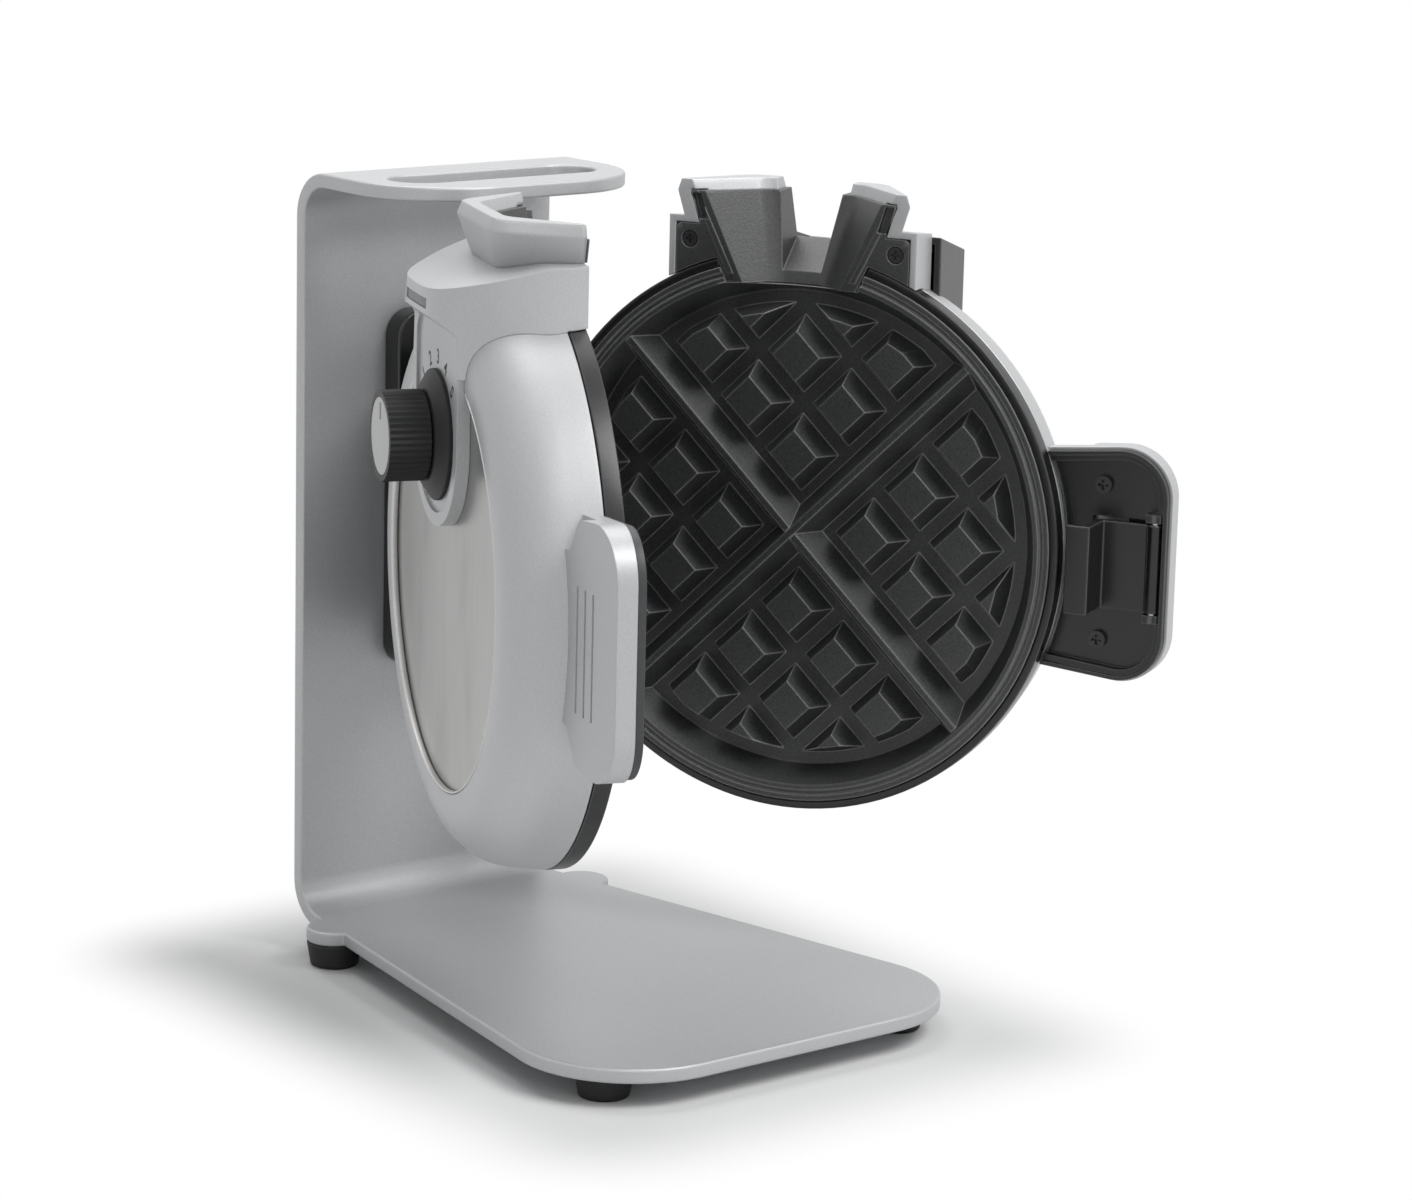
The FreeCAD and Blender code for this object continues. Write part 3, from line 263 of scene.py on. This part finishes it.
# On these only the square edges are rounded.
square_only = ("left_cover", "right_cover")
square_angle = 60
any_angle = 30
weld_gap = 0.001 * MM


def round_edges(obj, radius, steps):
    """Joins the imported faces, then rounds the edges between them."""
    joined = obj.modifiers.new("joined", "WELD")
    joined.merge_threshold = weld_gap
    soft = obj.modifiers.new("rounded", "BEVEL")
    soft.width = radius
    soft.segments = steps
    soft.limit_method = "ANGLE"
    soft.angle_limit = math.radians(square_angle if obj.name in square_only else any_angle)
    soft.use_clamp_overlap = False
    soft.loop_slide = False
    shade = obj.modifiers.new("shade", "WEIGHTED_NORMAL")
    shade.keep_sharp = False
    shade.weight = 60


for name in edge_round:
    radius, steps = edge_round[name]
    round_edges(nodes[name], radius * MM, steps)

# Each half's own axes: along it from the hinge, outward from the parting plane, and up.
hinge_at = Vector((-12.8644, 108.1691, 162.8)) * MM
disc_from_hinge = 129.4 * MM
half_open = {"left": 21.5, "right": 27.8}
upward = Vector((0.0, 0.0, 1.0))


def half_axes(side):
    """Directions along and outward of a half as the model rests."""
    turn = math.radians(half_open[side])
    lean = -1.0 if side == "left" else 1.0
    along = Vector((lean * math.sin(turn), -math.cos(turn), 0.0))
    outward = Vector((lean * math.cos(turn), math.sin(turn), 0.0))
    return along, outward


def trim_ring(side):
    """Polished ring that lines the recess round the trim disc."""
    along, outward = half_axes(side)
    middle = hinge_at + along * disc_from_hinge
    # Radius and height of the ring's section, in mm.
    profile = (
        (70.9, 34.6), (70.7, 34.9), (70.7, 36.2), (70.9, 36.55), (71.2, 36.7), (71.45, 36.55), (71.55, 36.2),
        (71.55, 34.9), (71.45, 34.6),
    )
    steps = 160
    points = []
    for step in range(steps):
        angle = 2 * math.pi * step / steps
        ray = along * math.cos(angle) + upward * math.sin(angle)
        for radius, height in profile:
            points.append(middle + ray * radius * MM + outward * height * MM)
    count = len(profile)
    faces = []
    for step in range(steps):
        here = step * count
        there = ((step + 1) % steps) * count
        for place in range(count):
            after = (place + 1) % count
            faces.append((here + place, here + after, there + after, there + place))
    mesh = bpy.data.meshes.new(side + "_trim_ring")
    mesh.from_pydata(points, [], faces)
    shape = bmesh.new()
    shape.from_mesh(mesh)
    bmesh.ops.recalc_face_normals(shape, faces=shape.faces)
    shape.to_mesh(mesh)
    shape.free()
    mesh.shade_smooth()
    mesh.materials.append(polished)
    obj = bpy.data.objects.new(side + "_trim_ring", mesh)
    bpy.context.scene.collection.objects.link(obj)
    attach(obj, side + "_half")


trim_ring("left")
trim_ring("right")

# Printed dial numbers: the knob's place on the left half and the ring that the numbers stand on.
along, outward = half_axes("left")
knob_along = -2.0 * MM
knob_up = 47.0 * MM
dial_face = 37.9 * MM
dial_at = hinge_at + along * (disc_from_hinge + knob_along) + outward * dial_face + upward * knob_up
number_ring = 25.4 * MM
number_step = math.radians(24)
number_size = 7.0 * MM
print_height = 0.05 * MM
print_swell = 0.08 * MM
middle_number = 3


def printed(name, body, angle):
    """A raised printed figure standing on the number ring, its head away from the knob."""
    curve = bpy.data.curves.new(name, "FONT")
    curve.body = body
    curve.size = number_size
    curve.extrude = print_height
    curve.offset = print_swell
    curve.align_x = "CENTER"
    curve.align_y = "CENTER"
    text = bpy.data.objects.new(name + "_text", curve)
    bpy.context.scene.collection.objects.link(text)
    bpy.context.view_layer.update()
    mesh = bpy.data.meshes.new_from_object(text.evaluated_get(bpy.context.evaluated_depsgraph_get()))
    bpy.data.objects.remove(text)
    head = upward * math.cos(angle) + along * math.sin(angle)
    across = head.cross(outward)
    place = Matrix((across, head, outward)).transposed().to_4x4()
    place.translation = dial_at + head * number_ring
    mesh.transform(place)
    mesh.materials.clear()
    mesh.materials.append(knob_black)
    obj = bpy.data.objects.new(name, mesh)
    bpy.context.scene.collection.objects.link(obj)
    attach(obj, "left_half")


for figure in range(1, 6):
    printed("dial_number_%d" % figure, str(figure), (figure - middle_number) * number_step)

# The leaf spring under the latch lever, copied as a mesh of its own; the model's spring is hidden.
leaf = bpy.data.objects.new("latch_leaf", nodes["latch_spring"].data.copy())
bpy.context.scene.collection.objects.link(leaf)
leaf.matrix_world = nodes["latch_spring"].matrix_world
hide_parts("latch_spring")
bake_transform(leaf)


def white_seen(tree):
    """Factor that is 1 for camera, mirror and glass rays, which see the white surroundings."""
    path = add_node(tree, "ShaderNodeLightPath")
    first = add_node(tree, "ShaderNodeMath", operation="MAXIMUM")
    tree.links.new(path.outputs["Is Camera Ray"], first.inputs[0])
    tree.links.new(path.outputs["Is Glossy Ray"], first.inputs[1])
    both = add_node(tree, "ShaderNodeMath", operation="MAXIMUM")
    tree.links.new(first.outputs["Value"], both.inputs[0])
    tree.links.new(path.outputs["Is Transmission Ray"], both.inputs[1])
    return both.outputs["Value"]


# The floor keeps the shadow round the foot of the stand, in metres from its edge.
stand_low, stand_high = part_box("stand_frame")
foot_middle = ((stand_low[0] + stand_high[0]) / 2, (stand_low[1] + stand_high[1]) / 2, 0.0)
foot_half = ((stand_high[0] - stand_low[0]) / 2, (stand_high[1] - stand_low[1]) / 2, 0.0)
shadow_full = 0.0
shadow_gone = 0.065


def floor_material():
    """Pale floor that keeps shadows near the object and runs out to the white background."""
    mat, tree, shader = material("studio_floor")
    shader.inputs["Roughness"].default_value = 0.9
    shader.inputs["Specular IOR Level"].default_value = 0.2
    shader.inputs["Base Color"].default_value = (0.92, 0.92, 0.92, 1)
    glow = add_node(tree, "ShaderNodeEmission")
    glow.inputs["Strength"].default_value = 1.0
    coords = add_node(tree, "ShaderNodeTexCoord")
    centred = add_node(tree, "ShaderNodeVectorMath", operation="SUBTRACT")
    centred.inputs[1].default_value = foot_middle
    tree.links.new(coords.outputs["Object"], centred.inputs[0])
    mirrored = add_node(tree, "ShaderNodeVectorMath", operation="ABSOLUTE")
    tree.links.new(centred.outputs["Vector"], mirrored.inputs[0])
    outside = add_node(tree, "ShaderNodeVectorMath", operation="SUBTRACT")
    outside.inputs[1].default_value = foot_half
    tree.links.new(mirrored.outputs["Vector"], outside.inputs[0])
    beyond = add_node(tree, "ShaderNodeVectorMath", operation="MAXIMUM")
    tree.links.new(outside.outputs["Vector"], beyond.inputs[0])
    length = add_node(tree, "ShaderNodeVectorMath", operation="LENGTH")
    tree.links.new(beyond.outputs["Vector"], length.inputs[0])
    far = add_node(tree, "ShaderNodeMapRange", interpolation_type="SMOOTHSTEP")
    far.inputs["From Min"].default_value = shadow_full
    far.inputs["From Max"].default_value = shadow_gone
    tree.links.new(length.outputs["Value"], far.inputs["Value"])
    both = add_node(tree, "ShaderNodeMath", operation="MULTIPLY")
    tree.links.new(far.outputs["Result"], both.inputs[0])
    tree.links.new(white_seen(tree), both.inputs[1])
    mix = add_node(tree, "ShaderNodeMixShader")
    tree.links.new(both.outputs["Value"], mix.inputs["Fac"])
    tree.links.new(shader.outputs["BSDF"], mix.inputs[1])
    tree.links.new(glow.outputs["Emission"], mix.inputs[2])
    tree.links.new(mix.outputs["Shader"], tree.nodes["Material Output"].inputs["Surface"])
    return mat


floor_size = 12.0
bpy.ops.mesh.primitive_plane_add(size=floor_size, location=(0, 0, 0))
floor = bpy.context.object
floor.name = "floor"
floor.data.materials.append(floor_material())

world = bpy.data.worlds.new("studio")
bpy.context.scene.world = world
world.use_nodes = True
sky_tree = world.node_tree
sky = sky_tree.nodes["Background"]
sky.inputs["Color"].default_value = (0.86, 0.88, 0.90, 1)
sky.inputs["Strength"].default_value = 0.2
white = add_node(sky_tree, "ShaderNodeBackground")
white.inputs["Strength"].default_value = 1.0
white.inputs["Color"].default_value = (1, 1, 1, 1)
pick = add_node(sky_tree, "ShaderNodeMixShader")
sky_tree.links.new(white_seen(sky_tree), pick.inputs["Fac"])
sky_tree.links.new(sky.outputs["Background"], pick.inputs[1])
sky_tree.links.new(white.outputs["Background"], pick.inputs[2])
sky_tree.links.new(pick.outputs["Shader"], sky_tree.nodes["World Output"].inputs["Surface"])


def softbox(name, place, target, size, watts):
    """Rectangular lamp at a place, turned to a target."""
    data = bpy.data.lights.new(name, "AREA")
    data.shape = "RECTANGLE"
    data.size = size[0]
    data.size_y = size[1]
    data.energy = watts
    obj = bpy.data.objects.new(name, data)
    bpy.context.scene.collection.objects.link(obj)
    obj.location = place
    aim = Vector(target) - Vector(place)
    obj.rotation_euler = aim.to_track_quat("-Z", "Y").to_euler()


centre = (0.0, 0.0, 0.15)
softbox("key_light", (0.45, -1.2, 1.7), centre, (1.1, 1.0), 23)
softbox("back_light", (0.1, 0.55, 1.5), centre, (1.2, 1.0), 9)
softbox("left_light", (-0.9, -1.0, 1.5), centre, (1.0, 0.9), 3)

# The camera stands where the photograph was taken from.
cam_at = (-0.920064, -1.160531, 0.472)
cam_data = bpy.data.cameras.new("camera")
cam = bpy.data.objects.new("camera", cam_data)
bpy.context.scene.collection.objects.link(cam)
cam_data.sensor_fit = "HORIZONTAL"
cam_data.sensor_width = 36.0
cam_data.lens = 113.12
cam_data.clip_start = 0.05
yaw = math.radians(-38.91)
pitch = math.radians(12.487)
roll = math.radians(1.417)
back = Vector((math.sin(yaw) * math.cos(pitch), -math.cos(yaw) * math.cos(pitch), math.sin(pitch)))
right = Vector((math.cos(yaw), math.sin(yaw), 0.0))
up = back.cross(right)
cam_x = right * math.cos(roll) + up * math.sin(roll)
cam_y = up * math.cos(roll) - right * math.sin(roll)
turn = Matrix((cam_x, cam_y, back)).transposed().to_4x4()
cam.matrix_world = Matrix.Translation(cam_at) @ turn
bpy.context.scene.camera = cam
bpy.context.scene.view_settings.view_transform = "Standard"
